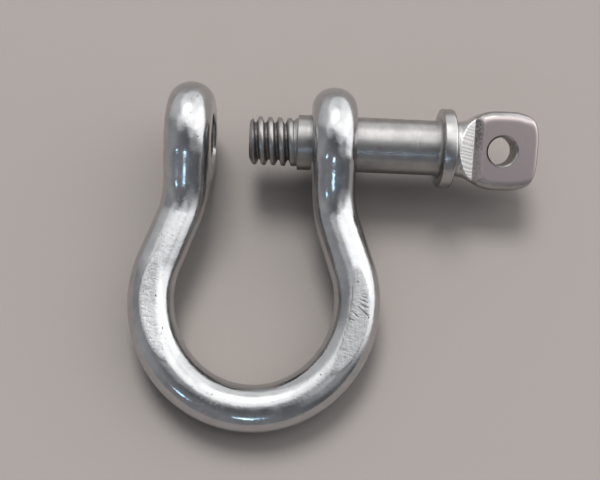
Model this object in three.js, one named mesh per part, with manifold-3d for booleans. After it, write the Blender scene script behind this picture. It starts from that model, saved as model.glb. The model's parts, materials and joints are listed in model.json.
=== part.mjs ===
// Bow shackle with a one-piece screw pin, lying on its side with the pin drawn part of the way out.
// Millimetres, +Z up. X runs along the pin towards its head, and Y from the crown towards the ears.
import * as THREE from 'three';
import { mergeVertices } from 'three/addons/utils/BufferGeometryUtils.js';
import Module from 'manifold-3d';

const wasm = await Module();
wasm.setup();

// Bow
const JAW_GAP = 12.7;             // between the inner faces of the ears
const EAR_THICKNESS = 5.8;
const EAR_DIAMETER = 14.5;
const EAR_EDGE_ROUND = 2.6;       // radius of the ear's rim
const BAR_DIAMETER = 5.8;         // round bar at the crown
const NECK_DIAMETER = 5.5;        // round bar where it joins the ears
const RAMP_ANGLE = 33.5;          // climb from the leg to the ear's rim, degrees from the bow's plane
const RAMP_EASE = 1.3;            // how softly the leg runs into the ramp
const BOW_RADIUS = 12.9;          // centreline of the bow's round part
const BOW_CENTRE = 20.8;          // from the pin axis to the middle of the round part
const CROWN_STRETCH = 1.05;       // the crown half is this much longer than round
const LEG_STRAIGHT = 5.8;         // straight leg below the pin axis
const LEG_BEND_RADIUS = 16;
const CLEARANCE_HOLE = 7.7;       // plain hole in the right ear

// Pin
const PITCH = 1.27;
const THREAD_MAJOR = 6.35;
const THREAD_MINOR = 4.8;
const CREST_WIDTH = 0.26;
const ROOT_WIDTH = 0.98;          // axial width of one ridge at its foot
const THREAD_LENGTH = 6.1;
const SHANK_DIAMETER = 7.15;
const TIP_TO_COLLAR = 24.7;
const COLLAR_DIAMETER = 10.3;
const COLLAR_THICKNESS = 1.65;
const COLLAR_BORE = 7.45;
const NECK_SHOULDER = 0.5;        // round neck between the collar and the pressed slope
const SLOPE_LENGTH = 2.1;         // from the round neck down to the flat of the eye
const COLLAR_TO_EYE = 8.4;        // from the collar's seat to the middle of the eye
const EYE_LENGTH = 8.6;
const EYE_WIDTH = 10.2;
const EYE_SQUARENESS = 3.4;       // 2 is an ellipse, more is squarer
const EYE_THICKNESS = 3.8;
const EYE_EDGE_ROUND = 1.15;
const EYE_HOLE = 3.7;
const EYE_HOLE_SHIFT = 0.4;       // towards the collar from the middle of the eye
const EYE_HOLE_CHAMFER = 0.2;

// Tapped hole in the left ear
const TAP_CLEARANCE = 0.14;       // radially and along the axis, on each flank
const TAP_BORE = 5.3;
const TAP_CHAMFER = 0.5;

// Pose: the pin is unscrewed from its seat by this many turns, which tilts the eye by the odd part
const EYE_TILT = 28;              // degrees
const TURNS_FROM_SEAT = 8.5 + EYE_TILT / 360;
const SEAT_GAP = 0.06;            // collar to ear when the pin is home

// Fineness of the round shapes
const BAR_SIDES = 20;
const EAR_SIDES = 40;
const ROUND_SIDES = 32;
const THREAD_STEPS_PER_TURN = 20;
const EYE_STEPS = 36;
const HIDDEN_OVERLAP = 0.4;       // how far a joined piece is sunk into its neighbour

const earRadius = EAR_DIAMETER / 2;
const earCentre = (JAW_GAP + EAR_THICKNESS) / 2;
const earOuterFace = JAW_GAP / 2 + EAR_THICKNESS;
const legCentre = earOuterFace - NECK_DIAMETER / 2;
const barRadius = BAR_DIAMETER / 2;
const crownReach = BOW_CENTRE + BOW_RADIUS * CROWN_STRETCH;
const bowTilt = Math.asin((earRadius - barRadius) / crownReach);
const eyeTilt = THREE.MathUtils.degToRad(EYE_TILT);
const collarFace = earOuterFace + SEAT_GAP + TURNS_FROM_SEAT * PITCH;
const tipX = collarFace - TIP_TO_COLLAR;

// ---------- solids ----------

function solid(geometry) {
  const bare = geometry.index ? geometry.toNonIndexed() : geometry.clone();
  bare.deleteAttribute('normal');
  bare.deleteAttribute('uv');
  const merged = mergeVertices(bare, 1e-4);
  const mesh = new wasm.Mesh({
    numProp: 3,
    vertProperties: new Float32Array(merged.attributes.position.array),
    triVerts: new Uint32Array(merged.index.array),
  });
  return new wasm.Manifold(mesh);
}

function geometryOf(manifold) {
  const mesh = manifold.getMesh();
  const geometry = new THREE.BufferGeometry();
  geometry.setAttribute('position', new THREE.BufferAttribute(mesh.vertProperties, 3));
  geometry.setIndex(new THREE.BufferAttribute(mesh.triVerts, 1));
  geometry.computeVertexNormals();
  return geometry;
}

// A solid of revolution about X. Each point is [x, radius].
function turned(points, sides = ROUND_SIDES) {
  const profile = points.map(([x, radius]) => new THREE.Vector2(radius, x));
  const geometry = new THREE.LatheGeometry(profile, sides);
  geometry.rotateZ(-Math.PI / 2);
  return solid(geometry);
}

// Points on an arc of [x, radius] about a centre, angles in degrees from +x.
function arcPoints(cx, cr, radius, from, to, steps) {
  const points = [];
  for (let i = 0; i <= steps; i += 1) {
    const angle = THREE.MathUtils.degToRad(from + ((to - from) * i) / steps);
    points.push([cx + radius * Math.cos(angle), cr + radius * Math.sin(angle)]);
  }
  return points;
}

// Joins rings of points, each ring the same length, into one closed skin with flat ends.
function loft(rings) {
  const count = rings[0].length;
  const positions = rings.flat().flatMap((point) => point.toArray());
  const index = [];
  for (let i = 0; i + 1 < rings.length; i += 1) {
    for (let j = 0; j < count; j += 1) {
      const a = i * count + j;
      const b = i * count + ((j + 1) % count);
      index.push(a, b, a + count);
      index.push(b, b + count, a + count);
    }
  }
  const last = (rings.length - 1) * count;
  for (let j = 1; j + 1 < count; j += 1) {
    index.push(0, j + 1, j);
    index.push(last, last + j, last + j + 1);
  }
  const geometry = new THREE.BufferGeometry();
  geometry.setAttribute('position', new THREE.Float32BufferAttribute(positions, 3));
  geometry.setIndex(index);
  return solid(geometry);
}

// A right-hand ridge wound about X. It starts at x = 0 on the +Y side.
function helicalRidge(footRadius, crestRadius, footWidth, crestWidth, turns) {
  const steps = Math.round(turns * THREAD_STEPS_PER_TURN);
  const rings = [];
  for (let i = 0; i <= steps; i += 1) {
    const angle = (2 * Math.PI * i) / THREAD_STEPS_PER_TURN;
    const x = (PITCH * i) / THREAD_STEPS_PER_TURN;
    const at = (dx, radius) => new THREE.Vector3(x + dx, radius * Math.cos(angle), radius * Math.sin(angle));
    rings.push([
      at(footWidth / 2, footRadius),
      at(crestWidth / 2, crestRadius),
      at(-crestWidth / 2, crestRadius),
      at(-footWidth / 2, footRadius),
    ]);
  }
  return loft(rings);
}

// ---------- bow ----------

// Centreline of the right half, from the pin axis to the crown, as [x, y] with the crown at -y.
// The leg is flush with the ear's outer face, bends outwards, and runs straight into the round part.
function halfCentreline() {
  const bend = new THREE.Vector2(legCentre + LEG_BEND_RADIUS, LEG_STRAIGHT);
  const reach = Math.hypot(bend.x, bend.y - BOW_CENTRE);
  const base = Math.atan2(bend.y - BOW_CENTRE, bend.x);
  const tangent = base + Math.acos((BOW_RADIUS + LEG_BEND_RADIUS) / reach);
  const points = [0, 2, 3.4, 4.4].map((reachFromPin) => [legCentre, reachFromPin]);
  const bendSteps = 8;
  for (let i = 0; i <= bendSteps; i += 1) {
    const angle = Math.PI + (tangent * i) / bendSteps;
    points.push([bend.x + LEG_BEND_RADIUS * Math.cos(angle), bend.y + LEG_BEND_RADIUS * Math.sin(angle)]);
  }
  const bowSteps = 20;
  for (let i = 0; i <= bowSteps; i += 1) {
    const angle = tangent + ((Math.PI / 2 - tangent) * i) / bowSteps;
    const stretch = angle > 0 ? CROWN_STRETCH : 1;
    points.push([BOW_RADIUS * Math.cos(angle), BOW_CENTRE + BOW_RADIUS * Math.sin(angle) * stretch]);
  }
  return points.map(([x, reachFromPin]) => [x, -reachFromPin]);
}

function smoothMax(a, b, ease) {
  const share = THREE.MathUtils.clamp(0.5 + (a - b) / (2 * ease), 0, 1);
  return THREE.MathUtils.lerp(b, a, share) + ease * share * (1 - share);
}

// How much taller than its radius the bar is, each way, where it climbs straight to the ear's rim.
// Nearer the pin it is hidden just inside the ear.
function rampRise(reachFromPin, radius) {
  const slope = THREE.MathUtils.degToRad(RAMP_ANGLE);
  const line = (earRadius - reachFromPin * Math.sin(slope)) / Math.cos(slope);
  const hidden = Math.sqrt(Math.max(earRadius ** 2 - reachFromPin ** 2, 0)) - HIDDEN_OVERLAP;
  const height = reachFromPin > earRadius * Math.sin(slope) ? line : hidden;
  return smoothMax(height, radius, RAMP_EASE) - radius;
}

function bar() {
  const right = halfCentreline();
  const left = right.slice(0, -1).reverse().map(([x, y]) => [-x, y]);
  const path = right.concat(left).map(([x, y]) => new THREE.Vector3(x, y, 0));
  const rings = path.map((point, i) => {
    const before = path[Math.max(i - 1, 0)];
    const after = path[Math.min(i + 1, path.length - 1)];
    const forward = after.clone().sub(before).normalize();
    const across = new THREE.Vector3(-forward.y, forward.x, 0);
    const share = THREE.MathUtils.smoothstep(-point.y, 0, BOW_CENTRE);
    const radius = THREE.MathUtils.lerp(NECK_DIAMETER, BAR_DIAMETER, share) / 2;
    const rise = rampRise(-point.y, radius);
    const ring = [];
    for (let j = 0; j < BAR_SIDES; j += 1) {
      const angle = (2 * Math.PI * j) / BAR_SIDES;
      const offset = across.clone().multiplyScalar(radius * Math.cos(angle));
      const half = j % (BAR_SIDES / 2) === 0 ? 0 : Math.sign(BAR_SIDES / 2 - j);
      ring.push(point.clone().add(offset).setZ(radius * Math.sin(angle) + rise * half));
    }
    return ring;
  });
  return loft(rings);
}

// A round ear with a full rim, centred on the pin axis at x.
function ear(x) {
  const rimCentre = EAR_THICKNESS / 2 - EAR_EDGE_ROUND;
  const rimRadius = earRadius - EAR_EDGE_ROUND;
  const profile = [
    [x - EAR_THICKNESS / 2, 0],
    ...arcPoints(x - rimCentre, rimRadius, EAR_EDGE_ROUND, 180, 90, 5),
    ...arcPoints(x + rimCentre, rimRadius, EAR_EDGE_ROUND, 90, 0, 5),
    [x + EAR_THICKNESS / 2, 0],
  ];
  return turned(profile, EAR_SIDES);
}

// The countersink at the mouth of the tapped hole, opening towards +X from x = 0.
function tapMouth() {
  const boreRadius = TAP_BORE / 2 - 0.1;
  const openRadius = THREAD_MAJOR / 2 + TAP_CLEARANCE + 0.1;
  return turned([[-TAP_CHAMFER, 0], [-TAP_CHAMFER, boreRadius], [0, openRadius], [1, openRadius], [1, 0]]);
}

// The room for the thread in the left ear, in step with the pin's own thread.
function tapCutter() {
  const start = -earOuterFace - 1;
  const end = -JAW_GAP / 2 + 1;
  const boreRadius = TAP_BORE / 2;
  const bore = turned([[start, 0], [start, boreRadius], [end, boreRadius], [end, 0]]);
  const turns = Math.ceil((end - start) / PITCH) + 2;
  const groove = helicalRidge(
    THREAD_MINOR / 2,
    THREAD_MAJOR / 2 + TAP_CLEARANCE,
    ROOT_WIDTH + 2 * TAP_CLEARANCE,
    CREST_WIDTH + 2 * TAP_CLEARANCE,
    turns,
  );
  const turnsToTip = Math.ceil((tipX - start) / PITCH) + 1;
  const inStep = groove
    .rotate([THREE.MathUtils.radToDeg(eyeTilt - bowTilt), 0, 0])
    .translate([tipX - turnsToTip * PITCH, 0, 0]);
  const innerMouth = tapMouth().translate([-JAW_GAP / 2, 0, 0]);
  const outerMouth = tapMouth().rotate([0, 0, 180]).translate([-earOuterFace, 0, 0]);
  return bore.add(inStep).add(innerMouth).add(outerMouth);
}

function bowGeometry() {
  const holeStart = JAW_GAP / 2 - 1;
  const holeEnd = earOuterFace + 1;
  const holeRadius = CLEARANCE_HOLE / 2;
  const plainHole = turned([[holeStart, 0], [holeStart, holeRadius], [holeEnd, holeRadius], [holeEnd, 0]]);
  const body = bar().add(ear(earCentre)).add(ear(-earCentre)).subtract(plainHole).subtract(tapCutter());
  return geometryOf(body);
}

// ---------- pin ----------

function collarGeometry() {
  const bevel = 0.2;
  const outer = COLLAR_DIAMETER / 2;
  const bore = COLLAR_BORE / 2;
  const end = COLLAR_THICKNESS;
  return geometryOf(turned([
    [0, bore],
    [0, outer - bevel],
    [bevel, outer],
    [end - bevel, outer],
    [end, outer - bevel],
    [end, bore],
    [0, bore],
  ]));
}

function thread() {
  const lead = 0.5;
  const outer = THREAD_MAJOR / 2;
  const core = THREAD_MINOR / 2;
  const end = THREAD_LENGTH + HIDDEN_OVERLAP;
  const turns = Math.ceil(THREAD_LENGTH / PITCH) + 2;
  const ridge = helicalRidge(core - 0.15, outer, ROOT_WIDTH + 0.1, CREST_WIDTH, turns).translate([-PITCH, 0, 0]);
  const envelope = turned([[0, 0], [0, outer - lead], [lead, outer + 0.1], [end, outer + 0.1], [end, 0]]);
  const coreRod = turned([[0, 0], [0, core - 0.1], [0.1, core], [end, core], [end, 0]]);
  return ridge.intersect(envelope).add(coreRod);
}

function shank() {
  const step = 0.4;
  const radius = SHANK_DIAMETER / 2;
  const end = TIP_TO_COLLAR + COLLAR_THICKNESS + NECK_SHOULDER + SLOPE_LENGTH + HIDDEN_OVERLAP;
  return turned([
    [THREAD_LENGTH, 0],
    [THREAD_LENGTH, THREAD_MINOR / 2],
    [THREAD_LENGTH + step, radius],
    [end, radius],
    [end, 0],
  ]);
}

// Side view of the pin: full height along the shank, pressed down to the thickness of the eye.
function sideEnvelope(slopeStart, slopeEnd, end) {
  const full = SHANK_DIAMETER / 2 + 1;
  const flat = EYE_THICKNESS / 2;
  const round = SHANK_DIAMETER / 2;
  const shape = new THREE.Shape();
  shape.moveTo(-1, -full);
  shape.lineTo(slopeStart - 0.6, -full);
  shape.lineTo(slopeStart, -round);
  shape.lineTo(slopeEnd, -flat);
  shape.lineTo(end, -flat);
  shape.lineTo(end, flat);
  shape.lineTo(slopeEnd, flat);
  shape.lineTo(slopeStart, round);
  shape.lineTo(slopeStart - 0.6, full);
  shape.lineTo(-1, full);
  shape.closePath();
  const width = EYE_WIDTH * 2;
  const geometry = new THREE.ExtrudeGeometry(shape, { depth: width, bevelEnabled: false });
  geometry.translate(0, 0, -width / 2);
  geometry.rotateX(Math.PI / 2);
  return solid(geometry);
}

// Plan view of the eye, a rounded square.
function eyeOutline(x, inset) {
  const halfLength = EYE_LENGTH / 2 - inset;
  const halfWidth = EYE_WIDTH / 2 - inset;
  const power = 2 / EYE_SQUARENESS;
  const swell = (value) => Math.sign(value) * Math.abs(value) ** power;
  const points = [];
  for (let i = 0; i < EYE_STEPS; i += 1) {
    const angle = (2 * Math.PI * i) / EYE_STEPS;
    points.push(new THREE.Vector2(x + halfLength * swell(Math.cos(angle)), halfWidth * swell(Math.sin(angle))));
  }
  return new THREE.Shape(points);
}

function eye(x) {
  const flat = EYE_THICKNESS - 2 * EYE_EDGE_ROUND;
  const geometry = new THREE.ExtrudeGeometry(eyeOutline(x, EYE_EDGE_ROUND), {
    depth: flat,
    bevelThickness: EYE_EDGE_ROUND,
    bevelSize: EYE_EDGE_ROUND,
    bevelSegments: 3,
  });
  geometry.translate(0, 0, -flat / 2);
  return solid(geometry);
}

function eyeHole(x) {
  const half = EYE_THICKNESS / 2;
  const radius = EYE_HOLE / 2;
  const wide = radius + EYE_HOLE_CHAMFER;
  const cutter = turned([
    [-half - 0.5, 0],
    [-half - 0.5, wide],
    [-half, wide],
    [-half + EYE_HOLE_CHAMFER, radius],
    [half - EYE_HOLE_CHAMFER, radius],
    [half, wide],
    [half + 0.5, wide],
    [half + 0.5, 0],
  ]);
  return cutter.rotate([0, 90, 0]).translate([x, 0, 0]);
}

function screwPinGeometry() {
  const slopeStart = TIP_TO_COLLAR + COLLAR_THICKNESS + NECK_SHOULDER;
  const eyeMiddle = TIP_TO_COLLAR + COLLAR_TO_EYE;
  const stem = thread().add(shank());
  const pressed = stem.intersect(sideEnvelope(slopeStart, slopeStart + SLOPE_LENGTH, eyeMiddle));
  const body = pressed.add(eye(eyeMiddle)).subtract(eyeHole(eyeMiddle - EYE_HOLE_SHIFT));
  return geometryOf(body);
}

// ---------- assembly ----------

function steel(color, roughness) {
  return new THREE.MeshStandardMaterial({ color, roughness, metalness: 1 });
}

function named(name, geometry, material) {
  const mesh = new THREE.Mesh(geometry, material);
  mesh.name = name;
  return mesh;
}

const bow = named('bow', bowGeometry(), steel(0xc4c6c6, 0.16));
bow.rotation.x = bowTilt;

const collar = named('pin_collar', collarGeometry(), steel(0xbfc0bf, 0.3));
collar.position.x = collarFace;

const screwPin = named('screw_pin', screwPinGeometry(), steel(0xb4b5b6, 0.3));
screwPin.position.x = tipX;
screwPin.rotation.x = eyeTilt;

const onPinAxis = new THREE.Group();
onPinAxis.add(bow, collar, screwPin);

const shackle = new THREE.Group();
shackle.add(onPinAxis);
shackle.updateMatrixWorld(true);
const box = new THREE.Box3().setFromObject(shackle, true);
const middle = box.getCenter(new THREE.Vector3());
onPinAxis.position.set(-middle.x, -middle.y, -box.min.z);

export default shackle;
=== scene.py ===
import json
import math

import bmesh
import bpy
import numpy as np
from mathutils import Matrix, Vector


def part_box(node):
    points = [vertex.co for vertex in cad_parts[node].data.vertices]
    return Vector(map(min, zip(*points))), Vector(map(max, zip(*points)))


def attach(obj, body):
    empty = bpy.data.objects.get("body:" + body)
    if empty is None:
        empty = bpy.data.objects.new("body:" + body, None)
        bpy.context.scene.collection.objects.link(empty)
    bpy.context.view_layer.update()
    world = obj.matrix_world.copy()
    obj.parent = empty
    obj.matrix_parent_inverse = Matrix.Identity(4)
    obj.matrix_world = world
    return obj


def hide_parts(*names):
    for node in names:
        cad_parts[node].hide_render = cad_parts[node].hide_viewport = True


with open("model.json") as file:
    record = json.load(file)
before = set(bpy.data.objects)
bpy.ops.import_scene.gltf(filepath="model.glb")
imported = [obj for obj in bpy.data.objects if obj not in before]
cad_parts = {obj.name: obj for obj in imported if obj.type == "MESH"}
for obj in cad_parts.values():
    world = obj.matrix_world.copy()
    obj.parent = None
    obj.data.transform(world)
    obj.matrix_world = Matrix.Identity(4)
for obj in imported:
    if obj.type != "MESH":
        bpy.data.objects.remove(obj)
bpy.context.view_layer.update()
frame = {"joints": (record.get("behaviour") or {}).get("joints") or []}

MM = 0.001

# ---------- sizes in millimetres, as in the CAD part ----------

JAW_GAP = 12.7
EAR_THICKNESS = 5.8
EAR_RADIUS = 7.25
EAR_EDGE_ROUND = 2.6
EAR_FACE_ROUND = 2.85
BAR_RADIUS = 2.9
NECK_RADIUS = 2.75
RAMP_ANGLE = math.radians(33.5)
RAMP_EASE = 1.3
BOW_RADIUS = 12.9
BOW_CENTRE = 20.8
CROWN_STRETCH = 1.05
LEG_STRAIGHT = 5.8
LEG_BEND_RADIUS = 16.0
CLEARANCE_HOLE_RADIUS = 3.85

PITCH = 1.27
THREAD_MAJOR_RADIUS = 3.175
THREAD_MINOR_RADIUS = 2.4
CREST_HALF_WIDTH = 0.24
CREST_DOME = 0.1
ROOT_HALF_WIDTH = 0.54
THREAD_LENGTH = 6.1
SHANK_RADIUS = 3.575
TIP_TO_COLLAR = 24.7
COLLAR_RADIUS = 5.15
COLLAR_THICKNESS = 1.65
NECK_SHOULDER = 0.5
SLOPE_LENGTH = 2.1
COLLAR_TO_EYE = 8.4
EYE_HALF_LENGTH = 4.3
EYE_HALF_WIDTH = 5.1
EYE_HALF_THICKNESS = 1.9
EYE_EDGE_ROUND = 1.35
EYE_SQUARENESS = 3.4
EYE_HOLE_RADIUS = 1.85
EYE_HOLE_SHIFT = 0.4
HOLE_CHAMFER = 0.24
EYE_TILT = math.radians(28)
TAP_CLEARANCE = 0.12
TAP_BORE_RADIUS = 2.65

EAR_OUTER = JAW_GAP / 2 + EAR_THICKNESS
EAR_CENTRE = (JAW_GAP + EAR_THICKNESS) / 2
LEG_CENTRE = EAR_OUTER - NECK_RADIUS
CROWN_REACH = BOW_CENTRE + BOW_RADIUS * CROWN_STRETCH
BOW_TILT = math.asin((EAR_RADIUS - BAR_RADIUS) / CROWN_REACH)

# ---------- places from the frame ----------

turn_joint = next(j for j in frame["joints"] if j["name"] == "pin_turn")
bow_low, bow_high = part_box("bow")
pin_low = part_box("screw_pin")[0]
collar_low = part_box("pin_collar")[0]
pin_axis = Vector(((bow_low.x + bow_high.x) / 2, turn_joint["pos_m"][1], turn_joint["pos_m"][2]))
TIP_X = (pin_low.x - pin_axis.x) / MM
COLLAR_X = (collar_low.x - pin_axis.x) / MM

# ---------- mesh tools ----------

BOW_GRID = 0.22         # cell of the grid that the bow's surface is found on
EYE_GRID = 0.11         # and of the finer one for the eye


def smooth_step(start, end, value):
    share = np.clip((value - start) / (end - start), 0, 1)
    return share * share * (3 - 2 * share)


def smooth_min(a, b, reach):
    """The lower of two fields, rounded where they are within reach of each other."""
    share = np.clip(0.5 + 0.5 * (b - a) / reach, 0, 1)
    return b * (1 - share) + a * share - reach * share * (1 - share)


def smooth_max(a, b, reach):
    return -smooth_min(-a, -b, reach)


def surface_net(field, low, high, step):
    """A closed quad mesh on the zero surface of field, one vertex in each grid cell it passes through."""
    axes = [low[i] + step * np.arange(math.ceil((high[i] - low[i]) / step) + 1) for i in range(3)]
    values = field(*np.meshgrid(*axes, indexing="ij", sparse=True))
    total, crossings = edge_crossings(values)
    used = crossings > 0
    number = np.full(used.shape, -1)
    number[used] = np.arange(used.sum())
    points = (np.argwhere(used) + total[used] / crossings[used][:, None]) * step + np.array(low)
    return points, net_faces(values < 0, number)


def edge_crossings(values):
    """For each grid cell, where the surface crosses its edges: the sum of the places and their number."""
    cells = tuple(n - 1 for n in values.shape)
    total = np.zeros(cells + (3,))
    crossings = np.zeros(cells)

    def corner(offset):
        return values[tuple(slice(o, o + n) for o, n in zip(offset, cells))]

    for start in np.ndindex(2, 2, 2):
        for axis in range(3):
            if start[axis]:
                continue
            end = tuple(o + (a == axis) for a, o in enumerate(start))
            v0, v1 = corner(start), corner(end)
            cut = (v0 < 0) != (v1 < 0)
            share = np.where(cut, v0 / np.where(cut, v0 - v1, 1), 0)
            for a in range(3):
                total[..., a] += np.where(cut, start[a] + (share if a == axis else 0), 0)
            crossings += cut
    return total, crossings


def net_faces(inside, number):
    """One quad across each grid edge that the surface crosses. number holds each cell's vertex."""
    faces = []
    for axis in range(3):
        u, v = (axis + 1) % 3, (axis + 2) % 3
        near = tuple(slice(0, -1) if a == axis else slice(1, -1) for a in range(3))
        far = tuple(slice(1, None) if a == axis else slice(1, -1) for a in range(3))
        for start_in in (True, False):
            at = np.argwhere((inside[near] == start_in) & (inside[far] != start_in))
            at[:, u] += 1
            at[:, v] += 1
            ring = []
            for du, dv in ((-1, -1), (0, -1), (0, 0), (-1, 0)):
                cell = at.copy()
                cell[:, u] += du
                cell[:, v] += dv
                ring.append(number[tuple(cell.T)])
            quad = np.stack(ring, 1)
            faces.append(quad if start_in else quad[:, ::-1])
    return np.concatenate(faces)


EVENING = 0.6           # share of the way to its neighbours' mean that a vertex goes in one round


def settle(points, faces, field, step, rounds=4):
    """Evens out the vertices along the surface and puts each exactly on it."""
    starts = faces.ravel()
    ends = np.roll(faces, -1, axis=1).ravel()
    count = len(points)
    neighbours = np.bincount(starts, minlength=count) + np.bincount(ends, minlength=count)
    small = step * 0.02
    for turn in range(rounds):
        if turn < rounds - 1:
            mean = np.stack([
                np.bincount(starts, points[ends, a], count) + np.bincount(ends, points[starts, a], count)
                for a in range(3)
            ], 1) / neighbours[:, None]
            points = points + EVENING * (mean - points)
        for _ in range(2):
            value = field(*points.T)
            slope = np.stack([
                (field(*(points + small * np.eye(3)[a]).T) - value) / small for a in range(3)
            ], 1)
            length = np.maximum((slope ** 2).sum(1), 1e-6)
            shift = -(value / length)[:, None] * slope
            far = np.linalg.norm(shift, axis=1)
            points = points + shift * np.minimum(1, step / np.maximum(far, 1e-9))[:, None]
    return points


def mesh_of(name, points, faces):
    mesh = bpy.data.meshes.new(name)
    mesh.from_pydata(np.asarray(points).tolist(), [], [[int(i) for i in face] for face in faces])
    mesh.validate()
    obj = bpy.data.objects.new(name, mesh)
    bpy.context.scene.collection.objects.link(obj)
    return obj


def face_out(obj, change=None):
    """Makes a change to the mesh, if one is given, and turns every face outwards."""
    bm = bmesh.new()
    bm.from_mesh(obj.data)
    if change:
        change(bm)
    bmesh.ops.recalc_face_normals(bm, faces=bm.faces)
    bm.to_mesh(obj.data)
    bm.free()
    return obj


def implicit(name, field, low, high, step):
    points, faces = surface_net(field, low, high, step)
    return mesh_of(name, settle(points, faces, field, step), faces)


SAME_PLACE = 1e-4       # vertices nearer than this are one


def turned(name, xs, radius, sides=96, per_pitch=0):
    """A solid of revolution about X whose radius may change round it. Its rows follow the helix
    where per_pitch is given, and both its ends are flat."""
    angles = np.arange(sides + 1) * 2 * np.pi / sides
    xs = np.asarray(xs, float)
    if per_pitch:
        rows = np.arange(-per_pitch, round((xs[-1] - xs[0]) / PITCH * per_pitch) + 1)
        x = xs[0] + rows[:, None] * PITCH / per_pitch + PITCH * angles[None] / (2 * np.pi)
        x = np.clip(x, xs[0], xs[-1])
    else:
        x = np.repeat(xs[:, None], sides + 1, 1)
    theta = np.repeat(angles[None], len(x), 0)
    r = radius(x, theta)
    points = np.stack([x, r * np.cos(theta), r * np.sin(theta)], -1)
    height, width = x.shape
    flat = points.reshape(-1, 3)
    index = np.arange(height * width).reshape(height, width)
    quads = np.stack([index[:-1, :-1], index[:-1, 1:], index[1:, 1:], index[1:, :-1]], -1).reshape(-1, 4)
    first, last = len(flat), len(flat) + 1
    flat = np.concatenate([flat, [[xs[0], 0, 0], [xs[-1], 0, 0]]])
    caps = [(first, index[0, j + 1], index[0, j]) for j in range(sides)]
    caps += [(last, index[-1, j], index[-1, j + 1]) for j in range(sides)]

    def close(bm):
        bm.verts.ensure_lookup_table()
        for cap in caps:
            bm.faces.new([bm.verts[i] for i in cap])
        bmesh.ops.remove_doubles(bm, verts=bm.verts, dist=SAME_PLACE)
        bmesh.ops.dissolve_degenerate(bm, edges=bm.edges, dist=SAME_PLACE)

    return face_out(mesh_of(name, flat, quads), close)


def combine(obj, operation, *tools):
    for tool in tools:
        change = obj.modifiers.new("combine", "BOOLEAN")
        change.operation = operation
        change.solver = "MANIFOLD"
        change.object = tool
    bpy.context.view_layer.update()
    evaluated = obj.evaluated_get(bpy.context.evaluated_depsgraph_get())
    mesh = bpy.data.meshes.new_from_object(evaluated)
    mesh.materials.clear()
    obj.modifiers.clear()
    obj.data = mesh
    for tool in tools:
        bpy.data.objects.remove(tool)
    return obj


SHARP_EDGE = math.radians(32)


def corners_of(obj):
    return np.array([v.co for v in obj.data.vertices]).T


def paint(obj, name, values):
    """Marks part of the surface for the material, with a number from 0 to 1 at each vertex."""
    layer = obj.data.attributes.new(name, "FLOAT", "POINT")
    layer.data.foreach_set("value", np.asarray(values, np.float32))


def finish_surface(obj):
    """Smooth shading, with real edges kept sharp."""
    obj.data.shade_smooth()
    obj.data.set_sharp_from_angle(angle=SHARP_EDGE)


def place(obj, tilt):
    """Turns a millimetre mesh about the pin's axis and puts it in the row frame."""
    matrix = Matrix.Translation(pin_axis) @ Matrix.Rotation(tilt, 4, "X") @ Matrix.Scale(MM, 4)
    obj.data.transform(matrix)


# ---------- the bow ----------

bend_centre = np.array([LEG_CENTRE + LEG_BEND_RADIUS, -LEG_STRAIGHT])
bow_centre = np.array([0.0, -BOW_CENTRE])
to_bend = bend_centre - bow_centre
slant_angle = math.atan2(to_bend[1], to_bend[0]) - math.acos(
    (BOW_RADIUS + LEG_BEND_RADIUS) / float(np.hypot(*to_bend)))
slant_out = np.array([math.cos(slant_angle), math.sin(slant_angle)])
slant_down = np.array([slant_out[1], -slant_out[0]])
slant_start = bend_centre - LEG_BEND_RADIUS * slant_out
slant_end = bow_centre + BOW_RADIUS * slant_out
JOIN_EASE = 1.6         # how far each way the centreline eases from one curve into the next
EAR_BLEND = 0.3         # rounding where the bar meets the ear
BAR_SINK = 1.5          # how far the bar's hidden end sinks inside the ear
RAMP_END = EAR_RADIUS * math.sin(RAMP_ANGLE)    # how far below the pin the ramp touches the ear's rim
FACE_END = 5.6          # how far below the pin the ear's flat outer face goes
FACE_FADE = 8.0         # and where nothing is trimmed to it any more
BOW_WIDER = 4.0         # more than the bow stands out past the ears
FLAT_EDGE = 0.06        # rounding along the edge of a ground flat
CLEAR_OF_RAMP = 1.5     # how much faster than a ramp the flats rise, so that they stay clear of it

FLATS = (               # side of the bow, outward tilt, middle and half length in degrees, depth
    (-1, -2.5, -9.0, 27.0, 0.2),
    (1, 5.5, -12.0, 27.0, 0.2),
)


def bar_offset(x, y):
    """Distance outwards from the bar's centreline, in the bow's plane."""
    x = np.abs(x)
    leg = x - LEG_CENTRE
    bend = LEG_BEND_RADIUS - np.hypot(x - bend_centre[0], y - bend_centre[1])
    slant = (x - slant_end[0]) * slant_out[0] + (y - slant_end[1]) * slant_out[1]
    down = y - bow_centre[1]
    stretch = np.where(down < 0, CROWN_STRETCH, 1.0)
    reach = np.maximum(np.hypot(x, down / stretch), 0.1)
    slope = np.hypot(x, down / stretch ** 2) / reach
    circle = (reach - BOW_RADIUS) / slope

    def eased(a, b, along):
        share = smooth_step(-JOIN_EASE, JOIN_EASE, along)
        return a * (1 - share) + b * share

    result = eased(leg, bend, -(y + LEG_STRAIGHT))
    for nearer, origin in ((slant, slant_start), (circle, slant_end)):
        along = (x - origin[0]) * slant_down[0] + (y - origin[1]) * slant_down[1]
        result = eased(result, nearer, along)
    return result


def flat_cut(x, y, z, offset, radius):
    """The field of the ground flats on top of both sides of the bow."""
    angle = np.degrees(np.arctan2(y - bow_centre[1], np.abs(x)))
    cut = None
    for side, tilt, middle, half, depth in FLATS:
        lean = math.radians(tilt)
        sink = depth * (1 - ((angle - middle) / half) ** 2)
        height = radius + CLEAR_OF_RAMP * ramp_rise(y, radius) - sink
        plane = offset * math.sin(lean) + z * math.cos(lean) - height
        plane = np.where(x * side > 0, plane, -10)
        cut = plane if cut is None else np.maximum(cut, plane)
    return cut


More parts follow.
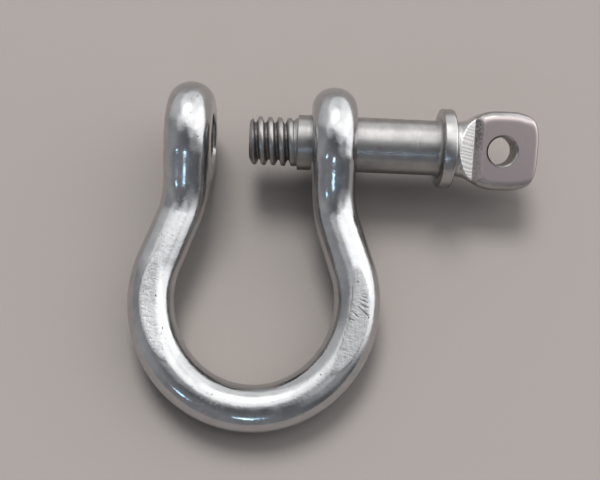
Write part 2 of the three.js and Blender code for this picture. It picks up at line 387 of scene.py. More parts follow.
def bar_radius(y):
    return NECK_RADIUS + (BAR_RADIUS - NECK_RADIUS) * smooth_step(0, BOW_CENTRE, -y)


def ramp_rise(y, radius):
    """How much taller than the bar the leg is, where it climbs straight up to the ear's rim."""
    line = (EAR_RADIUS + y * math.sin(RAMP_ANGLE)) / math.cos(RAMP_ANGLE)
    disc = np.sqrt(np.maximum(EAR_RADIUS ** 2 - y ** 2, 0))
    height = np.where(y > -RAMP_END, disc, line)
    return smooth_max(height, radius, RAMP_EASE) - radius


def bow_field(x, y, z):
    """The whole forging, without its holes: below 0 inside, and about the distance near its surface."""
    offset = bar_offset(x, y)
    radius = bar_radius(y)
    above = np.maximum(np.abs(z) - ramp_rise(y, radius), 0)
    bar = np.hypot(offset, above) - radius + BAR_SINK * smooth_step(-RAMP_END, 0.5, y)
    bar = np.maximum(bar, y - 1)
    bar = smooth_max(bar, flat_cut(x, y, z, offset, radius), FLAT_EDGE)
    rim = (np.hypot(y, z) - (EAR_RADIUS - EAR_EDGE_ROUND)) / EAR_EDGE_ROUND
    face = (np.abs(np.abs(x) - EAR_CENTRE) - (EAR_THICKNESS / 2 - EAR_FACE_ROUND)) / EAR_FACE_ROUND
    ear = np.hypot(np.maximum(rim, 0), np.maximum(face, 0)) + np.minimum(np.maximum(rim, face), 0)
    joined = smooth_min(bar, (ear - 1) * EAR_EDGE_ROUND, EAR_BLEND)
    outer_face = np.abs(x) - EAR_OUTER - BOW_WIDER * smooth_step(FACE_END, FACE_FADE, -y)
    return np.maximum(joined, outer_face)


def thread_radius(x, theta, crest, root, widen=0.0):
    """Radius of a right-hand thread whose ridge crosses +Y at x = 0. Its crest is slightly domed."""
    turn = x / PITCH - theta / (2 * np.pi)
    from_ridge = np.abs((turn + 0.5) % 1 - 0.5) * PITCH
    flank = np.clip((ROOT_HALF_WIDTH + widen - from_ridge) / (ROOT_HALF_WIDTH - CREST_HALF_WIDTH), 0, 1)
    dome = 1 - CREST_DOME * np.minimum(from_ridge / (CREST_HALF_WIDTH + widen), 1) ** 2
    side = (1 - CREST_DOME) * flank + CREST_DOME * flank ** 4
    return root + (crest - root) * np.minimum(dome, side)


def tap_tool():
    """What is cut out of the left ear: the thread's groove and a countersink at each mouth."""
    start, end = -EAR_OUTER, -JAW_GAP / 2
    past = 0.8
    groove = THREAD_MAJOR_RADIUS + TAP_CLEARANCE
    mouth = groove + 0.15
    phase = EYE_TILT - BOW_TILT

    def radius(x, theta):
        cut = thread_radius(x - TIP_X, theta - phase, groove, TAP_BORE_RADIUS, TAP_CLEARANCE)
        depth = np.minimum(x - start, end - x)
        return np.clip(mouth - depth, cut, mouth + 0.5)

    return turned("tap_tool", [start - past, end + past], radius, per_pitch=24)


def hole_tool():
    """The plain hole in the right ear, with its edges rounded off."""
    start, end = JAW_GAP / 2, EAR_OUTER
    edge, past = 0.35, 0.5
    steps = np.radians(np.linspace(0, 62, 9))
    rounding = [(edge - edge * math.sin(a), edge - edge * math.cos(a)) for a in steps]
    inner = [(start + depth, out) for depth, out in rounding][::-1]
    outer = [(end - depth, out) for depth, out in rounding]
    widest = rounding[-1][1] + past
    xs, outs = zip((start - past, widest), *inner, *outer, (end + past, widest))

    def radius(x, theta):
        return CLEARANCE_HOLE_RADIUS + np.interp(x, xs, outs)

    return turned("hole_tool", xs, radius, sides=128)


SCRATCHES = (           # where each starts and ends in the bow's plane, width, depth
    (12.60, -21.50, 14.30, -22.75, 0.19, 0.075),
    (13.30, -22.10, 14.25, -22.95, 0.14, 0.05),
    (12.95, -21.25, 14.25, -21.80, 0.15, 0.05),
    (12.85, -20.75, 14.20, -21.30, 0.10, 0.03),
    (12.95, -20.30, 14.10, -20.75, 0.10, 0.03),
    (12.45, -18.60, 12.90, -18.68, 0.17, 0.06),
    (12.00, -22.25, 12.95, -23.10, 0.24, 0.06),
    (11.75, -23.15, 12.45, -23.50, 0.18, 0.05),
    (-11.90, -21.15, -11.85, -21.50, 0.18, 0.10),
    (-10.85, -25.05, -10.70, -25.35, 0.20, 0.12),
)

SPECKLED = (            # places with small dark specks: middle in the bow's plane, and size
    (-8.3, 3.3, 1.7),
    (-6.6, -6.4, 1.6),
    (-9.3, -9.3, 1.3),
    (-11.6, -14.0, 1.6),
    (-4.5, -34.0, 2.2),
    (8.8, -31.0, 2.0),
)


def top_of_bow(x, y):
    """Height of the bow's upper surface over a place on the bar."""
    heights = np.linspace(3.5, 1.5, 1001)
    inside = bow_field(np.full_like(heights, x), np.full_like(heights, y), heights) < 0
    return float(heights[inside.argmax()])


def scratch_tool(x0, y0, x1, y1, width, depth):
    """A V-shaped nick, deepest halfway along and running out to nothing at both ends."""
    start, along = np.array([x0, y0]), np.array([x1 - x0, y1 - y0])
    across = np.array([-along[1], along[0]]) / np.hypot(*along)
    above = 0.3
    clear = 0.02
    points = [(x0, y0, top_of_bow(x0, y0) + clear)]
    shares = (0.15, 0.4, 0.6, 0.85)
    for share in shares:
        x, y = start + share * along
        full = math.sin(math.pi * share) ** 0.6
        half_width = width / 2 * full * (1 + above / (depth * full))
        surface = top_of_bow(x, y)
        points.append((x + across[0] * half_width, y + across[1] * half_width, surface + above))
        points.append((x, y, surface - depth * full))
        points.append((x - across[0] * half_width, y - across[1] * half_width, surface + above))
    points.append((x1, y1, top_of_bow(x1, y1) + clear))
    last = len(points) - 1
    faces = []
    for k in range(3):
        a, b = 1 + k, 1 + (k + 1) % 3
        faces.append((0, a, b))
        for row in range(len(shares) - 1):
            offset = 3 * row
            faces.append((a + offset, a + offset + 3, b + offset + 3, b + offset))
        faces.append((last, b + last - 4, a + last - 4))
    tool = mesh_of("scratch_tool", points, faces)
    return face_out(tool, lambda bm: bmesh.ops.triangulate(bm, faces=bm.faces))


def make_bow():
    high = (17.5, 8.2, 8.2)     # clear of the forging, as low is
    low = (-high[0], -CROWN_REACH - BAR_RADIUS - 0.6, -high[2])
    obj = implicit("bow_shackle_bow", bow_field, low, high, BOW_GRID)
    combine(obj, "DIFFERENCE", tap_tool(), hole_tool(), *(scratch_tool(*scratch) for scratch in SCRATCHES))
    paint_bow(obj)
    finish_surface(obj)
    place(obj, BOW_TILT)
    return obj


def paint_bow(obj):
    """Marks both ground flats, the left one to be coloured lighter as a painted highlight, and the speckled
    places.
    """
    x, y, z = corners_of(obj)
    on_flat = smooth_step(-0.08, -0.02, flat_cut(x, y, z, bar_offset(x, y), bar_radius(y)))
    paint(obj, "ground", on_flat)
    # The left flat gets a lighter colour in the material: a painted highlight.
    paint(obj, "painted_bright_flat", on_flat * (x < 0))
    speckled = [1 - smooth_step(0.3 * size, size, np.hypot(x - x0, y - y0)) for x0, y0, size in SPECKLED]
    paint(obj, "speckled", np.max(speckled, 0))


# ---------- the pin ----------

FILLET = 0.55           # between shank and collar
NECK_FILLET = 0.4       # between collar and neck
NEAR_EDGE = 0.18        # rounding of the collar's edge towards the shank
FAR_EDGE = 0.34         # and of the one towards the eye
STEP_LENGTH = 0.4       # from the thread up to the shank
RUNOUT = 1.05           # the last of the thread, where its root rises
TIP_CHAMFER = 0.55
THREAD_END = THREAD_LENGTH - 0.05
RUNOUT_BELOW = 0.12     # how far below the crests the root ends up
STEP_BELOW = 0.1        # how far below the crests the step up to the shank starts
WEAR = 0.05             # the most that a crest has lost
SHANK_START = THREAD_LENGTH + STEP_LENGTH
COLLAR_END = TIP_TO_COLLAR + COLLAR_THICKNESS
SLOPE_START = COLLAR_END + NECK_SHOULDER
SLOPE_END = SLOPE_START + SLOPE_LENGTH
EYE_X = TIP_TO_COLLAR + COLLAR_TO_EYE
FAR_EDGE_TIGHTER = 0.75     # how much less round the eye's far end is
PRESSED_OFF = 0.85          # how much of the round neck the press took off beside the crease
PRESSED_EDGE = 0.08         # rounding along the edge of a pressed face
RIDGE_HEIGHT = 0.009


def worn_thread(x, theta):
    """The thread and the step up to the shank. The crests are unevenly worn."""
    crest, root = THREAD_MAJOR_RADIUS, THREAD_MINOR_RADIUS
    runout = smooth_step(THREAD_END - RUNOUT, THREAD_END, x)
    thread = thread_radius(x, theta, crest, root + (crest - root - RUNOUT_BELOW) * runout)
    wear = 0.5 + 0.25 * np.sin(3 * theta + 1.7 * x) + 0.25 * np.sin(7 * theta - 2.3 * x)
    thread = np.minimum(thread - WEAR * wear, crest - TIP_CHAMFER + x)
    steep = (SHANK_RADIUS + STEP_BELOW - crest) / STEP_LENGTH
    shank = np.clip(crest - STEP_BELOW + (x - THREAD_LENGTH) * steep, 0, SHANK_RADIUS)
    return np.where(x < THREAD_LENGTH, thread, np.maximum(shank, np.minimum(thread, SHANK_RADIUS)))


def shank_radius(x, theta):
    """The plain shank, its fillet, and from there a slightly thinner core inside the collar."""
    into = np.clip(x - (TIP_TO_COLLAR - FILLET), 0, FILLET)
    grow = FILLET - np.sqrt(np.maximum(FILLET ** 2 - into ** 2, 0))
    return np.where(x > TIP_TO_COLLAR + 0.02, SHANK_RADIUS - 0.15, SHANK_RADIUS + grow)


def make_shank():
    plain = np.linspace(SHANK_START + 0.3, TIP_TO_COLLAR - FILLET, 60)
    fillet = [TIP_TO_COLLAR - FILLET + FILLET * math.sin(math.radians(a)) for a in range(6, 91, 6)]
    core = [TIP_TO_COLLAR + 0.015, TIP_TO_COLLAR + 0.03, COLLAR_END - 0.4]
    return turned("shank", [SHANK_START - 0.25, SHANK_START + 0.1, *plain, *fillet, *core], shank_radius)


def make_pin():
    thread = turned("thread", [0, SHANK_START], worn_thread, per_pitch=24)
    obj = combine(make_eye(), "UNION", make_shank(), thread)
    obj.name = obj.data.name = "shackle_screw_pin"
    paint_pin(obj)
    finish_surface(obj)
    obj.data.transform(Matrix.Translation((TIP_X, 0, 0)))
    place(obj, EYE_TILT)
    return obj


def paint_pin(obj):
    """Marks the turned stem, its rings, the pressed slopes, the eye's faces, and the darker places: painted
    shade in the eye's bore and darker thread roots.
    """
    x, y, z = corners_of(obj)
    past_neck = smooth_step(SLOPE_START - 0.2, SLOPE_START + 0.2, x)
    past_crease = smooth_step(SLOPE_END - 0.1, SLOPE_END + 0.1, x)
    from_hole = np.hypot(x - EYE_X + EYE_HOLE_SHIFT, y) - EYE_HOLE_RADIUS
    on_face = smooth_step(EYE_HALF_THICKNESS - 0.2, EYE_HALF_THICKNESS - 0.1, np.abs(z))
    on_face = on_face * smooth_step(HOLE_CHAMFER, HOLE_CHAMFER + 0.05, from_hole)
    beside_crease = past_crease * (1 - smooth_step(0.3, 1.8, x - SLOPE_END))
    beside_crease = beside_crease * (0.5 + 0.5 * smooth_step(-1.0, 1.8, y))
    # The eye's bore is marked for painted shade, and the thread's roots are marked to be coloured darker.
    in_bore = (from_hole < 0.06) & (np.abs(z) < EYE_HALF_THICKNESS - HOLE_CHAMFER - 0.03)
    in_groove = smooth_step(2.95, 2.5, np.hypot(y, z)) * (x < THREAD_LENGTH) * (x > 0.02)
    darkened_hollows = 0.75 * np.maximum(in_bore, in_groove)
    paint(obj, "turned", 1 - past_neck)
    paint(obj, "ringed", smooth_step(TIP_TO_COLLAR - 7, TIP_TO_COLLAR - 3, x) * (1 - past_neck))
    paint(obj, "slope", smooth_step(SLOPE_START - 0.1, SLOPE_START + 0.2, x) * (1 - past_crease))
    paint(obj, "face", past_crease * on_face)
    paint(obj, "pressed", np.maximum(darkened_hollows, 0.9 * beside_crease * on_face))


def eye_outline(x, y):
    """Distance out from the edge of the eye and its neck, seen flat."""
    along = (x - EYE_X) / EYE_HALF_LENGTH
    across = np.abs(y) / EYE_HALF_WIDTH
    power = EYE_SQUARENESS
    size = np.maximum((np.abs(along) ** power + across ** power) ** (1 / power), 0.2)
    slope = np.hypot(
        (np.abs(along) / size) ** (power - 1) / EYE_HALF_LENGTH,
        (across / size) ** (power - 1) / EYE_HALF_WIDTH)
    plate = (size - 1) / slope
    neck = np.maximum(np.abs(y) - SHANK_RADIUS, x - EYE_X)
    return smooth_min(plate, neck, 2.0)


def rounded_eye(x, y, z, half):
    """The neck and the eye with their soft edges, before they are pressed flat at half from the middle."""
    plate_edge = EYE_EDGE_ROUND - FAR_EDGE_TIGHTER * smooth_step(2.2, 3.8, x - EYE_X)
    edge = SHANK_RADIUS + (plate_edge - SHANK_RADIUS) * smooth_step(SLOPE_START - 0.4, SLOPE_END, x)
    proud = PRESSED_OFF * (1 - smooth_step(SLOPE_END - 0.1, SLOPE_END + 1.4, x))
    out = np.maximum(eye_outline(x, y) + edge, 0)
    up = np.maximum(np.abs(z) - np.maximum(np.minimum(half + proud, SHANK_RADIUS) - edge, 0), 0)
    into = np.clip(NECK_FILLET - (x - COLLAR_END), 0, NECK_FILLET)
    fillet = NECK_FILLET - np.sqrt(NECK_FILLET ** 2 - into ** 2)
    return np.hypot(out, up) - edge - fillet


def eye_field(x, y, z):
    """A round neck pressed down to a flat plate, with fine ridges left on the pressed slopes."""
    slope = np.clip((x - SLOPE_START) / SLOPE_LENGTH, -1, 1)
    half = SHANK_RADIUS + (EYE_HALF_THICKNESS - SHANK_RADIUS) * slope
    steep = (SHANK_RADIUS - EYE_HALF_THICKNESS) / SLOPE_LENGTH
    on_slope = smooth_step(0, 0.2, slope) * (1 - smooth_step(0.9, 1.0, slope))
    ridges = np.sin(13.0 * y + 3.0 * x + 1.6 * np.sin(2.3 * y + 1.0)) + 0.7 * np.sin(29.0 * y - 4.0 * x)
    height = half + RIDGE_HEIGHT * ridges * on_slope
    pressed = (np.abs(z) - height) / np.where(slope < 1, math.hypot(1, steep), 1)
    body = smooth_max(rounded_eye(x, y, z, half), pressed, PRESSED_EDGE)
    return np.maximum(body, TIP_TO_COLLAR + 0.35 - x)


def make_eye():
    half_width = EYE_HALF_WIDTH + 0.5
    half_height = SHANK_RADIUS + 0.625
    low = (TIP_TO_COLLAR, -half_width, -half_height)
    high = (EYE_X + EYE_HALF_LENGTH + 0.5, half_width, half_height)
    obj = implicit("eye", eye_field, low, high, EYE_GRID)
    return combine(obj, "DIFFERENCE", eye_hole_tool())


def eye_hole_tool():
    """The eye's hole, chamfered at each mouth. The rings just inside keep the bore's shading even."""
    face = EYE_HALF_THICKNESS
    wall = face - HOLE_CHAMFER
    past = 0.4
    half = [(wall - 0.06, 0), (wall, 0), (face, HOLE_CHAMFER), (face + past, HOLE_CHAMFER + past)]
    xs, outs = zip(*[(-x, out) for x, out in half[::-1]], *half)

    def radius(x, theta):
        return EYE_HOLE_RADIUS + np.interp(x, xs, outs)

    tool = turned("eye_hole", xs, radius)
    upright = Matrix.Rotation(math.pi / 2, 4, "Y")
    tool.data.transform(Matrix.Translation((EYE_X - EYE_HOLE_SHIFT, 0, 0)) @ upright)
    return tool


def rounded_corner(x, r, across, degrees):
    """Points round a corner of radius across about (x, r), at these angles off the X axis."""
    return [(x + across * math.cos(a), r + across * math.sin(a)) for a in np.radians(degrees)]


def collar_profile():
    """A slightly rounded near edge and a wider polished bevel on the far one."""
    bore = SHANK_RADIUS + 0.01
    far_x = COLLAR_THICKNESS - FAR_EDGE
    near = rounded_corner(NEAR_EDGE, COLLAR_RADIUS - NEAR_EDGE, NEAR_EDGE, (180, 160, 135, 110, 90))
    far = rounded_corner(far_x, COLLAR_RADIUS - FAR_EDGE, FAR_EDGE, (90, 68, 45, 22, 0))
    return [(0.0, bore), *near, *far, (COLLAR_THICKNESS, bore)]


def make_collar():
    sides = 160
    angles = np.arange(sides) * 2 * math.pi / sides
    profile = collar_profile()
    points = [(x, r * math.cos(a), r * math.sin(a)) for x, r in profile for a in angles]
    index = np.arange(len(points)).reshape(len(profile), sides)
    onward = np.roll(index, -1, axis=0)
    faces = np.stack([index, np.roll(index, -1, axis=1), np.roll(onward, -1, axis=1), onward], -1)
    obj = face_out(mesh_of("shackle_pin_collar", points, faces.reshape(-1, 4)))
    x, y, z = corners_of(obj)
    on_bevel = (x > COLLAR_THICKNESS - FAR_EDGE + 0.01) & (np.hypot(y, z) > COLLAR_RADIUS - 0.4)
    paint(obj, "polished", on_bevel)
    finish_surface(obj)
    obj.data.transform(Matrix.Translation((COLLAR_X, 0, 0)))
    place(obj, 0)
    return obj


# ---------- materials ----------

class Steel:
    """Short ways to build a metal's nodes. Lengths are in millimetres, on the object's own coordinates."""

    def __init__(self, name):
        self.material = bpy.data.materials.new(name)
        self.material.use_nodes = True
        self.nodes = self.material.node_tree.nodes
        self.links = self.material.node_tree.links
        self.shader = self.nodes["Principled BSDF"]
        self.shader.inputs["Metallic"].default_value = 1
        self.position = self.add("TexCoord").outputs["Object"]

    def add(self, kind, inputs=None, **settings):
        node = self.nodes.new("ShaderNode" + kind)
        for name, value in settings.items():
            setattr(node, name, value)
        for socket, value in (inputs or {}).items():
            self.give(node, socket, value)
        return node

    def give(self, node, socket, value):
        if isinstance(value, bpy.types.NodeSocket):
            self.links.new(value, node.inputs[socket])
        else:
            node.inputs[socket].default_value = value

    def scaled(self, per_mm, turn=(0, 0, 0)):
        """Coordinates with so many units in a millimetre along each axis, after turning them."""
        rotation = [math.radians(a) for a in turn]
        turned_to = self.add("Mapping", {"Vector": self.position, "Rotation": rotation})
        scale = [a / MM for a in per_mm]
        return self.add("Mapping", {"Vector": turned_to.outputs[0], "Scale": scale}).outputs[0]

    def noise(self, per_mm, detail=2.0, turn=(0, 0, 0), rough=0.5):
        settings = {"Vector": self.scaled(per_mm, turn), "Scale": 1.0, "Detail": detail, "Roughness": rough}
        return self.add("TexNoise", settings).outputs["Fac"]

    def span(self, value, start, end, low, high):
        """Carries start..end of value over to low..high, and no further."""
        inputs = {"Value": value, "From Min": start, "From Max": end, "To Min": low, "To Max": high}
        return self.add("MapRange", inputs).outputs["Result"]

    def calc(self, operation, a, b=0.0, c=0.0):
        return self.add("Math", {0: a, 1: b, 2: c}, operation=operation).outputs[0]

    def blend(self, share, a, b):
        """From a to b, both numbers or sockets."""
        return self.add("Mix", {0: share, 2: a, 3: b}, data_type="FLOAT").outputs[0]

    def tint(self, share, a, b):
        node = self.add("Mix", {0: share}, data_type="RGBA")
        for socket, value in ((6, a), (7, b)):
            self.give(node, socket, value if isinstance(value, bpy.types.NodeSocket) else (*value, 1))
        return node.outputs[2]

    def attribute(self, name):
        return self.add("Attribute", attribute_name=name).outputs["Fac"]

    def pits(self, per_mm, width, share):
        """1 inside small round pits, one to some of the cells of a random pattern."""
        cells = self.add("TexVoronoi", {"Vector": self.scaled((per_mm,) * 3), "Scale": 1.0})
        chosen = self.calc("LESS_THAN", cells.outputs["Color"], share)
        edge = width / 2 * per_mm
        hole = self.span(cells.outputs["Distance"], edge * 0.5, edge, 1, 0)
        return self.calc("MULTIPLY", hole, chosen)

    def bump(self, *layers):
        """Adds layers of (height from 0 to 1, depth in millimetres) to the surface."""
        normal = None
        for height, depth in layers:
            inputs = {"Height": height, "Distance": depth * MM, "Strength": 1.0}
            if normal is not None:
                inputs["Normal"] = normal
            normal = self.add("Bump", inputs).outputs[0]
        self.links.new(normal, self.shader.inputs["Normal"])

    def along_the_axis(self, share):
        """Draws the highlights out along the pin, as fine turning marks round it do."""
        tangent = self.add("Tangent", direction_type="RADIAL", axis="X")
        self.give(self.shader, "Tangent", tangent.outputs[0])
        self.give(self.shader, "Anisotropic", share)
        self.give(self.shader, "Anisotropic Rotation", 0.25)

    def finish(self, colour, roughness):
        self.give(self.shader, "Base Color", colour)
        self.give(self.shader, "Roughness", roughness)
        return self.material


def bow_steel():
    """Polished stainless steel: softly wavy, with fine scratches and pits, and satin ground flats, the left
    one with a painted highlight.
    """
    steel = Steel("bow_steel_look")
    waves = steel.noise((0.32, 0.32, 0.32), 1.0)
    patches = steel.noise((0.6, 0.6, 0.6), 3.0)
    grain = steel.noise((5, 5, 5), 3.0)
    lines = steel.noise((13, 0.6, 13), 2.0, (0, 0, 14))
    coarse = steel.noise((2.4, 2.4, 2.4), 2.0)
    ruts = steel.noise((3.4, 0.4, 3.4), 3.0, (0, 0, 4), rough=0.6)
    ticks = steel.noise((0.9, 4.5, 0.9), 2.0, (0, 0, 8))
    crossing = steel.noise((9, 0.5, 9), 2.0, (0, 0, -31))
    mottle = steel.noise((1.5, 1.1, 1.5), 4.0, rough=0.65)
    ground = steel.calc("MULTIPLY", steel.attribute("ground"), steel.span(mottle, 0.3, 0.55, 0.55, 1))
    pits = steel.calc("MAXIMUM", steel.pits(0.6, 0.22, 0.4), steel.pits(1.6, 0.13, 0.5))
    specks = steel.span(steel.noise((3.6, 2.4, 3.6), 3.0, rough=0.7), 0.60, 0.70, 0, 0.7)
    pits = steel.calc("MAXIMUM", pits, steel.calc("MULTIPLY", steel.attribute("speckled"), specks))
    polish = steel.span(patches, 0.35, 0.7, 0.12, 0.22)
    painted_bright_flat = steel.attribute("painted_bright_flat")
    satin = steel.blend(painted_bright_flat, steel.span(mottle, 0.35, 0.65, 0.36, 0.52), 0.30)
    roughness = steel.calc("MAXIMUM", steel.blend(ground, polish, satin), steel.calc("MULTIPLY", pits, 0.5))
    bright = steel.tint(steel.span(patches, 0.3, 0.7, 0, 1), (0.54, 0.545, 0.55), (0.62, 0.62, 0.62))
    worn = steel.tint(steel.span(mottle, 0.35, 0.65, 0, 1), (0.43, 0.43, 0.43), (0.55, 0.55, 0.55))
    # The left flat is coloured lighter than the polished steel: a painted highlight.
    worn = steel.tint(painted_bright_flat, worn, (0.70, 0.70, 0.70))
    colour = steel.tint(pits, steel.tint(ground, bright, worn), (0.16, 0.15, 0.14))
    on_flat = steel.calc("MULTIPLY", ground, steel.calc("ADD", ruts, steel.calc("MULTIPLY", ticks, 0.6)))
    on_flat = steel.calc("MULTIPLY", on_flat, steel.blend(painted_bright_flat, 1.0, 0.55))
    steel.bump((waves, 0.055), (coarse, 0.011), (grain, 0.004), (crossing, 0.003), (lines, 0.0018),
               (on_flat, 0.055), (steel.calc("SUBTRACT", 1.0, pits), 0.03))
    return steel.finish(colour, roughness)


def pin_steel():
    """Turned steel: fine rings round the stem, a plain satin face on the eye with a painted pinkish
    reflection, pressed slopes with dark rough patches beside their crease, and painted shade in the eye's
    bore and darker thread roots.
    """
    steel = Steel("pin_steel_look")
    turned_part = steel.attribute("turned")
    rings = steel.noise((7, 0.05, 0.05), 3.0, rough=0.7)
    ring_patches = steel.noise((0.7, 0.12, 0.12), 2.0)
    grain = steel.noise((4, 4, 4), 3.0)
    patches = steel.noise((0.7, 0.7, 0.7), 3.0)
    scuffs = steel.noise((1.2, 9, 9), 3.0, (0, 0, 8))
    # Rough dark patches beside the crease, plus painted shade in the eye's bore and darker thread roots.
    rough_and_shaded_patch = steel.attribute("pressed")
    pits = steel.pits(1.1, 0.16, 0.25)
    lathed = steel.span(rings, 0.3, 0.7, 0.30, 0.43)
    satin = steel.blend(steel.attribute("face"), steel.span(patches, 0.3, 0.7, 0.17, 0.27), 0.40)
    roughness = steel.blend(rough_and_shaded_patch, steel.blend(turned_part, satin, lathed), 0.5)
    clean = steel.tint(steel.span(patches, 0.3, 0.7, 0, 1), (0.45, 0.44, 0.435), (0.54, 0.53, 0.52))
    # This dark colour also paints shade into the eye's bore.
    dark_colour = steel.tint(steel.span(grain, 0.35, 0.65, 0, 1), (0.14, 0.12, 0.115), (0.42, 0.40, 0.39))
    # The pinkish tint on the eye's faces is a painted reflection of a brown floor.
    pale = steel.tint(steel.attribute("face"), clean, (0.61, 0.535, 0.535))
    pale = steel.tint(steel.attribute("slope"), pale, (0.66, 0.655, 0.65))
    colour = steel.tint(steel.calc("MAXIMUM", rough_and_shaded_patch, steel.calc("MULTIPLY", pits, 0.7)), pale, dark_colour)
    groove = steel.calc("MULTIPLY", turned_part, steel.calc("MULTIPLY", rings, ring_patches))
    tooling = steel.calc("MULTIPLY", steel.attribute("ringed"), steel.noise((3.0, 0.04, 0.04), 1.0))
    steel.bump((groove, 0.02), (tooling, 0.05), (grain, 0.003), (scuffs, 0.0016),
               (steel.calc("MULTIPLY", rough_and_shaded_patch, grain), 0.03))
    steel.along_the_axis(steel.calc("MULTIPLY", turned_part, 0.7))
    return steel.finish(colour, roughness)


def collar_steel():
    """Turned steel, satin on the rim and polished on the bevel towards the eye."""
    steel = Steel("collar_steel_look")
    bevel = steel.attribute("polished")
    grain = steel.noise((5, 5, 5), 3.0)
    patches = steel.noise((0.5, 0.5, 0.5), 3.0)
    lines = steel.noise((10, 0.2, 0.2), 2.0)
    roughness = steel.blend(bevel, steel.span(patches, 0.3, 0.7, 0.22, 0.36), 0.12)
    colour = steel.tint(steel.span(patches, 0.3, 0.7, 0, 1), (0.50, 0.49, 0.485), (0.58, 0.57, 0.565))
    steel.bump((grain, 0.003), (lines, 0.004))
    steel.along_the_axis(0.5)
    return steel.finish(colour, roughness)


# ---------- assembly ----------

bow = make_bow()
pin = make_pin()
collar = make_collar()
bow.data.materials.append(bow_steel())
pin.data.materials.append(pin_steel())
collar.data.materials.append(collar_steel())
for obj, node, body, slot in (
    (bow, "bow", "bow", "bow_steel"),
    (pin, "screw_pin", "pin", "pin_steel"),
    (collar, "pin_collar", "pin_slide", "pin_steel"),
):
    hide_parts(node)
    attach(obj, body)

# ---------- stage, light and camera ----------

FLOOR_HALF_SIDE = 0.6
FLOOR_COLOUR = (0.31, 0.285, 0.27, 1)
FLOOR_ROUGHNESS = 0.9


def make_floor():
    bm = bmesh.new()
    bmesh.ops.create_grid(bm, x_segments=1, y_segments=1, size=FLOOR_HALF_SIDE)
    mesh = bpy.data.meshes.new("floor")
    bm.to_mesh(mesh)
    bm.free()
    floor = bpy.data.objects.new("floor", mesh)
    bpy.context.scene.collection.objects.link(floor)
    material = bpy.data.materials.new("floor")
    material.use_nodes = True
    shader = material.node_tree.nodes["Principled BSDF"]
    shader.inputs["Base Color"].default_value = FLOOR_COLOUR
    shader.inputs["Roughness"].default_value = FLOOR_ROUGHNESS
    mesh.materials.append(material)


# Soft lobes of the studio's light: azimuth (0 along +X, 90 along +Y) and elevation of the middle,
# how far out it is full and where it ends, in degrees, brightness and colour.
LIGHT_LOBES = (
    (74, 6, 80, 89, 0.23, (1.0, 1.0, 1.0)),       # the lit half of the room
    (62, 46, 42, 49, 0.48, (1.0, 1.0, 0.99)),     # its ceiling, up to a straight edge overhead
    (-4, 67, 16, 28, 0.45, (1.0, 1.0, 1.0)),
    (-26, 44, 8, 34, 0.26, (1.0, 1.0, 1.0)),
    (110, 40, 20, 60, 0.14, (1.0, 1.0, 1.0)),
    (160, 70, 10, 28, 0.42, (1.0, 1.0, 1.0)),
    (160, 20, 30, 62, 0.19, (1.0, 1.0, 1.0)),
    (94, 56, 6, 19, 0.9, (1.0, 0.99, 0.97)),      # the main lamp
    (60, 60, 10, 30, 0.36, (1.0, 0.99, 0.97)),
    (32, 12, 22, 50, 0.40, (1.0, 1.0, 1.0)),      # a window on the right
    (10, 20, 10, 40, 0.76, (1.0, 1.0, 1.0)),
    (-93, 34, 2.0, 3.5, 8.0, (0.48, 0.76, 1.0)),  # two small distant windows in front
    (-131, 31, 1.6, 3.0, 8.0, (0.48, 0.76, 1.0)),
    (-120, 0, 20, 78, 0.14, (1.0, 1.0, 1.0)),     # and the floor's glow on the dark wall
)
DARK_ROOM = (0.20, 0.205, 0.22, 1)
KEY_FROM = (100, 54)    # azimuth and elevation of the lamp that lights the floor
KEY_ENERGY = 2.6
KEY_SPREAD = 24         # degrees across


def direction(azimuth, elevation):
    a, e = math.radians(azimuth), math.radians(elevation)
    return math.cos(a) * math.cos(e), math.sin(a) * math.cos(e), math.sin(e)


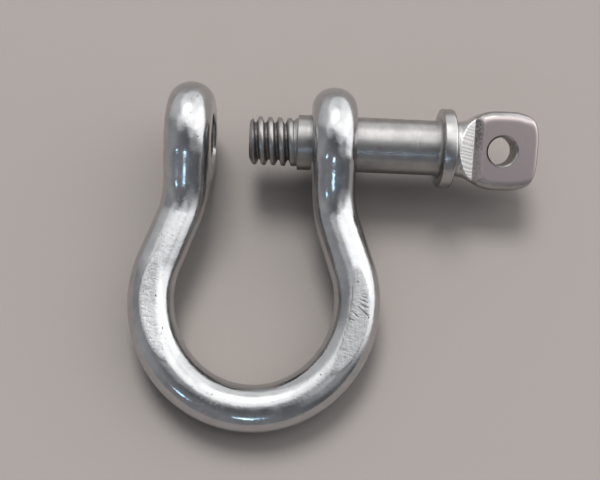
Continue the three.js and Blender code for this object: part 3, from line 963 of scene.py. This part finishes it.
def make_lights():
    world = bpy.data.worlds.new("world")
    world.use_nodes = True
    tree = world.node_tree
    nodes, links = tree.nodes, tree.links
    nodes["Background"].inputs["Color"].default_value = DARK_ROOM
    total = nodes["Background"].outputs[0]
    towards = nodes.new("ShaderNodeTexCoord").outputs["Generated"]
    for azimuth, elevation, full, end, brightness, colour in LIGHT_LOBES:
        dot = nodes.new("ShaderNodeVectorMath")
        dot.operation = "DOT_PRODUCT"
        dot.inputs[1].default_value = direction(azimuth, elevation)
        links.new(towards, dot.inputs[0])
        fade = nodes.new("ShaderNodeMapRange")
        fade.interpolation_type = "SMOOTHERSTEP"
        fade.inputs["From Min"].default_value = math.cos(math.radians(end))
        fade.inputs["From Max"].default_value = math.cos(math.radians(full))
        fade.inputs["To Max"].default_value = brightness
        links.new(dot.outputs["Value"], fade.inputs["Value"])
        lobe = nodes.new("ShaderNodeBackground")
        lobe.inputs["Color"].default_value = (*colour, 1)
        links.new(fade.outputs["Result"], lobe.inputs["Strength"])
        both = nodes.new("ShaderNodeAddShader")
        links.new(total, both.inputs[0])
        links.new(lobe.outputs[0], both.inputs[1])
        total = both.outputs[0]
    links.new(total, nodes["World Output"].inputs["Surface"])
    bpy.context.scene.world = world
    view = bpy.context.scene.view_settings
    view.view_transform = "Standard"
    view.gamma = 0.8


def make_key_light():
    """The lamp's light on the floor, for soft shadows towards the front. The metal mirrors the world."""
    data = bpy.data.lights.new("key", "SUN")
    data.energy = KEY_ENERGY
    data.angle = math.radians(KEY_SPREAD)
    key = bpy.data.objects.new("key", data)
    key.rotation_euler = Vector(direction(*KEY_FROM)).to_track_quat("Z", "Y").to_euler()
    key.visible_glossy = False
    bpy.context.scene.collection.objects.link(key)


CAMERA_AIM = (5.444, -12.759)   # in millimetres from the middle of the pin's axis
CAMERA_AIM_HEIGHT = 5.0
CAMERA_DISTANCE = 102.434
CAMERA_LENS = 47.92
CAMERA_SENSOR = 36
CAMERA_ELEVATION = 70.32        # above the floor, in degrees
CAMERA_AZIMUTH = 2.034          # from straight in front of the bow, round to its left
CAMERA_ROLL = 4.31


def make_camera():
    target = Vector((
        pin_axis.x + CAMERA_AIM[0] * MM, pin_axis.y + CAMERA_AIM[1] * MM, CAMERA_AIM_HEIGHT * MM))
    elevation, azimuth, roll = (
        math.radians(a) for a in (CAMERA_ELEVATION, CAMERA_AZIMUTH, CAMERA_ROLL))
    distance = CAMERA_DISTANCE * MM
    forward = Vector((math.sin(azimuth) * math.cos(elevation), math.cos(azimuth) * math.cos(elevation),
                      -math.sin(elevation)))
    right = Vector((math.cos(azimuth), -math.sin(azimuth), 0))
    up = right.cross(forward)
    right_rolled = right * math.cos(roll) + up * math.sin(roll)
    up_rolled = up * math.cos(roll) - right * math.sin(roll)
    data = bpy.data.cameras.new("camera")
    data.sensor_width = CAMERA_SENSOR
    data.lens = CAMERA_LENS
    data.clip_start, data.clip_end = 0.01, 5
    camera = bpy.data.objects.new("camera", data)
    rotation = Matrix((right_rolled, up_rolled, -forward)).transposed()
    camera.matrix_world = Matrix.Translation(target - forward * distance) @ rotation.to_4x4()
    bpy.context.scene.collection.objects.link(camera)
    bpy.context.scene.camera = camera


make_floor()
make_lights()
make_key_light()
make_camera()
